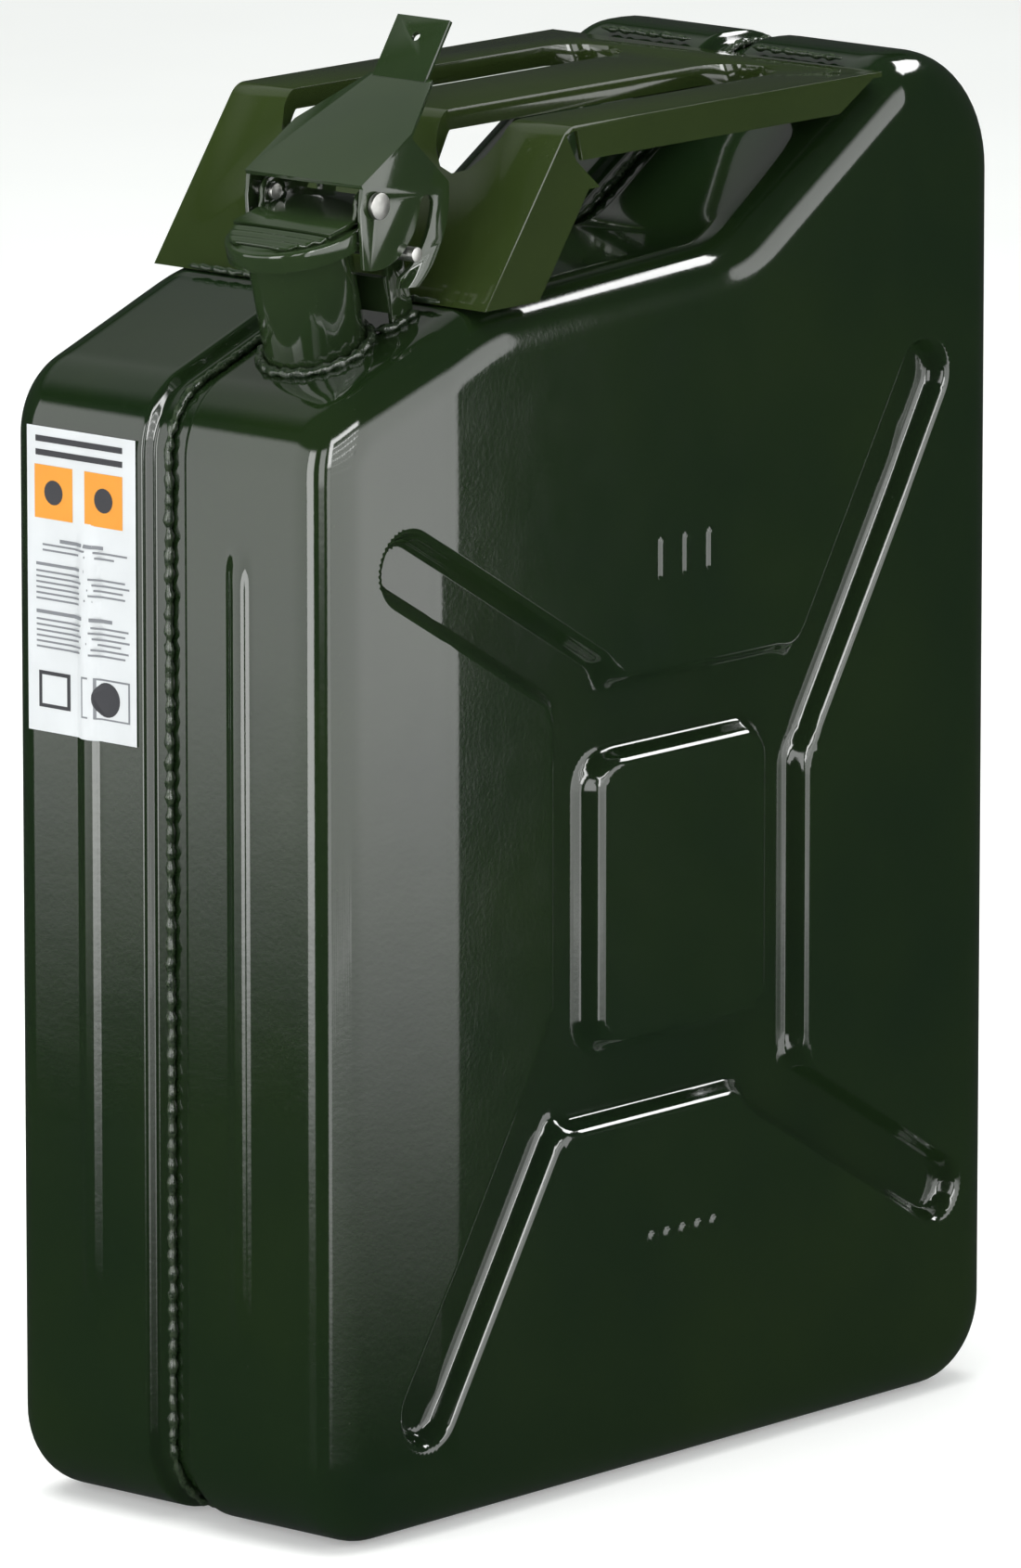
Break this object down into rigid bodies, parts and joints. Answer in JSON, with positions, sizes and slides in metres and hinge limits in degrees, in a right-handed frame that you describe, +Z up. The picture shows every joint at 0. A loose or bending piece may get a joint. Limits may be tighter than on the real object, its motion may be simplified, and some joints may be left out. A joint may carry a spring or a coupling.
{
  "type": "fuel can",
  "caption": "Pressed steel fuel can with crossed pressings on both broad faces, a triple bar carrying handle and a cam-lever lid on a short tilted neck.",
  "frame": {"origin": "bottom centre of the can's body", "axes": "+Z up; the neck and the narrow front face are at -X; the broad faces look along +Y and -Y"},
  "size_m": [0.3475, 0.15, 0.5015],
  "materials": {
    "enamel": "glossy",
    "bare_steel": "satin",
    "gasket_rubber": "matte",
    "label_film": "satin"
  },
  "bodies": {
    "can": {"left_shell": "enamel", "right_shell": "enamel", "seam_weld": "enamel", "neck_tube": "enamel", "neck_weld": "enamel", "hinge_bracket": "enamel", "handle": "enamel", "handle_rear_weld_left": "enamel", "handle_rear_weld_right": "enamel", "handle_foot_weld_left": "enamel", "handle_foot_weld_right": "enamel", "hinge_pin": "bare_steel", "breather_tube": "bare_steel", "label": "label_film"},
    "lid": {"lid_cap": "enamel", "lid_yoke": "enamel", "lid_gasket": "gasket_rubber", "gasket_retainer": "bare_steel", "retainer_rivet": "bare_steel", "lever_rivet_left": "bare_steel", "lever_rivet_right": "bare_steel"},
    "lever": {"closure_lever": "enamel"}
  },
  "joints": [
    {"name": "lid_hinge", "type": "hinge", "parent": "can", "child": "lid", "pos_m": [-0.11356, -0.031, 0.42947], "axis": [0, 1, 0], "range_deg": [0, 53]},
    {"name": "lever_pivot", "type": "hinge", "parent": "lid", "child": "lever", "pos_m": [-0.13064, -0.031, 0.44758], "axis": [0, -1, 0], "range_deg": [0, 75]}
  ],
  "couplings": [
    {"joint": "lid_hinge", "follows": "lever_pivot", "ratio": 0.7}
  ]
}
